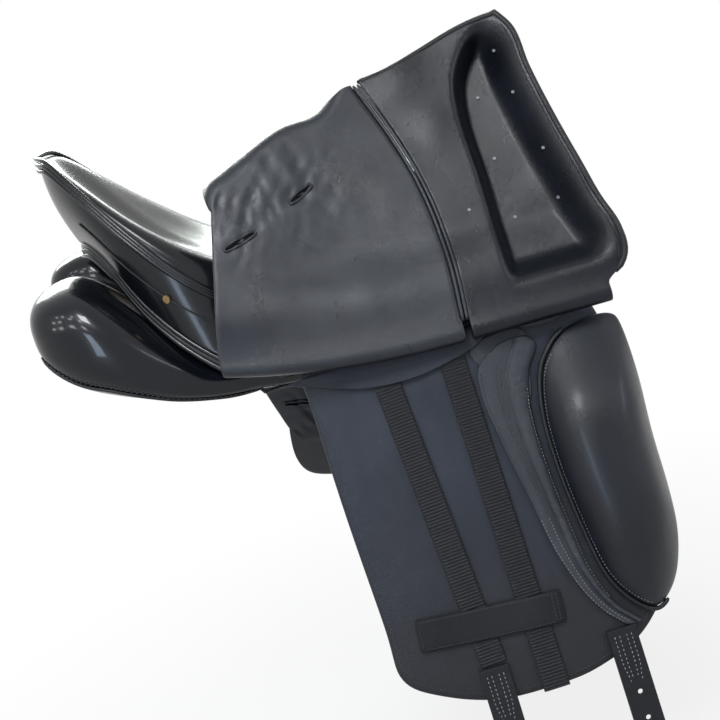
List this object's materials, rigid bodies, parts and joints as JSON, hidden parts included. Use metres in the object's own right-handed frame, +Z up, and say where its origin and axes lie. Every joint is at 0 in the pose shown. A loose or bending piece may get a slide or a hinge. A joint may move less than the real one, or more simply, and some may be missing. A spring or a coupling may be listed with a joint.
{
  "type": "english saddle",
  "caption": "Black leather english saddle of dressage cut, one flap folded up over the seat to show the sweat flap, thigh block, girth webs and billets",
  "frame": {"origin": "on the mid-plane under the seat, in the gullet channel where the saddle rests on a rack", "axes": "+X forward to the pommel, +Y to the near (left) side, +Z up"},
  "size_m": [0.5608, 0.6082, 0.7241],
  "materials": {
    "leather": "semi-gloss",
    "gloss_leather": "gloss",
    "webbing": "matt woven",
    "timber": "varnished ply",
    "steel": "nickel finish",
    "brass": "polished",
    "foam": "open cell",
    "jute": "woven",
    "wool": "carded"
  },
  "bodies": {
    "saddle": {"tree": "timber", "head_plate": "steel", "tree_springs": "steel", "seat_webbing": "jute", "seat_foam": "foam", "seat_cover": "gloss_leather", "seat_piping": "gloss_leather", "panel_welts": "leather", "saddle_nails": "brass", "stirrup_bars": "steel", "right_panel": "gloss_leather", "left_panel": "gloss_leather", "right_flock": "wool", "left_flock": "wool", "right_sweat_flap": "leather", "left_sweat_flap": "leather", "right_block": "gloss_leather", "left_block": "gloss_leather", "right_block_piping": "leather", "left_block_piping": "leather", "right_point_pocket": "leather", "left_point_pocket": "leather", "right_knee_pad": "leather", "left_knee_pad": "leather", "right_web_cover": "leather", "left_web_cover": "leather", "right_girth_webs": "webbing", "left_girth_webs": "webbing", "right_web_keeper": "leather", "left_web_keeper": "leather", "right_hanger": "leather", "left_hanger": "leather", "dee_tabs": "leather"},
    "right_flap": {"right_flap": "leather", "right_flap_front": "leather", "right_flap_welt": "leather", "right_flap_tacks": "steel", "right_keeper": "leather", "right_flap_fold": "leather", "right_skirt": "leather"},
    "right_tail": {"right_flap_tail": "leather"},
    "right_catch": {"right_bar_catch": "steel"},
    "right_dee": {"right_dee": "steel"},
    "right_rear_billet": {"right_rear_billet": "leather"},
    "right_point_billet": {"right_point_billet": "leather"},
    "left_flap": {"left_flap": "leather", "left_flap_front": "leather", "left_flap_welt": "leather", "left_flap_tacks": "steel", "left_keeper": "leather", "left_flap_fold": "leather", "left_skirt": "leather"},
    "left_tail": {"left_flap_tail": "leather"},
    "left_catch": {"left_bar_catch": "steel"},
    "left_dee": {"left_dee": "steel"},
    "left_rear_billet": {"left_rear_billet": "leather"},
    "left_point_billet": {"left_point_billet": "leather"}
  },
  "joints": [
    {"name": "right_flap_lower", "type": "hinge", "parent": "saddle", "child": "right_flap", "pos_m": [-0.115, -0.184, -0.03], "axis": [0.9996, 0.0105, -0.0279], "range_deg": [0, 184]},
    {"name": "left_flap_raise", "type": "hinge", "parent": "saddle", "child": "left_flap", "pos_m": [-0.115, 0.184, -0.03], "axis": [0.9996, -0.0105, -0.0279], "range_deg": [0, 184]},
    {"name": "right_tail_crease", "type": "hinge", "parent": "right_flap", "child": "right_tail", "pos_m": [-0.07583, -0.10896, 0.14309], "axis": [0.8986, 0.2941, 0.3257], "range_deg": [0, 74]},
    {"name": "left_tail_crease", "type": "hinge", "parent": "left_flap", "child": "left_tail", "pos_m": [-0.08425, 0.24597, -0.20983], "axis": [0.8841, 0.2503, -0.3945], "range_deg": [0, 74]},
    {"name": "right_catch_lift", "type": "hinge", "parent": "saddle", "child": "right_catch", "pos_m": [0.03002, -0.14942, 0.00586], "axis": [-0.1045, 0.9945, 0], "range_deg": [0, 45]},
    {"name": "right_dee_swing", "type": "hinge", "parent": "saddle", "child": "right_dee", "pos_m": [0.18828, -0.04502, 0.09262], "axis": [-0.4695, -0.8829, 0], "range_deg": [0, 80]},
    {"name": "right_rear_billet_swing", "type": "hinge", "parent": "saddle", "child": "right_rear_billet", "pos_m": [0.051, -0.25115, -0.33718], "axis": [-1, 0, 0], "range_deg": [0, 60]},
    {"name": "right_point_billet_swing", "type": "hinge", "parent": "saddle", "child": "right_point_billet", "pos_m": [0.176, -0.25164, -0.33704], "axis": [-1, 0, 0], "range_deg": [0, 60]},
    {"name": "left_catch_lift", "type": "hinge", "parent": "saddle", "child": "left_catch", "pos_m": [0.03002, 0.14942, 0.00586], "axis": [0.1045, 0.9945, 0], "range_deg": [0, 45]},
    {"name": "left_dee_swing", "type": "hinge", "parent": "saddle", "child": "left_dee", "pos_m": [0.18828, 0.04502, 0.09262], "axis": [0.4695, -0.8829, 0], "range_deg": [0, 80]},
    {"name": "left_rear_billet_swing", "type": "hinge", "parent": "saddle", "child": "left_rear_billet", "pos_m": [0.051, 0.25115, -0.33718], "axis": [1, 0, 0], "range_deg": [0, 60]},
    {"name": "left_point_billet_swing", "type": "hinge", "parent": "saddle", "child": "left_point_billet", "pos_m": [0.176, 0.25164, -0.33704], "axis": [1, 0, 0], "range_deg": [0, 60]}
  ],
  "couplings": [
    {"joint": "right_tail_crease", "follows": "right_flap_lower", "ratio": 0.4021},
    {"joint": "left_tail_crease", "follows": "left_flap_raise", "ratio": 0.4021}
  ]
}
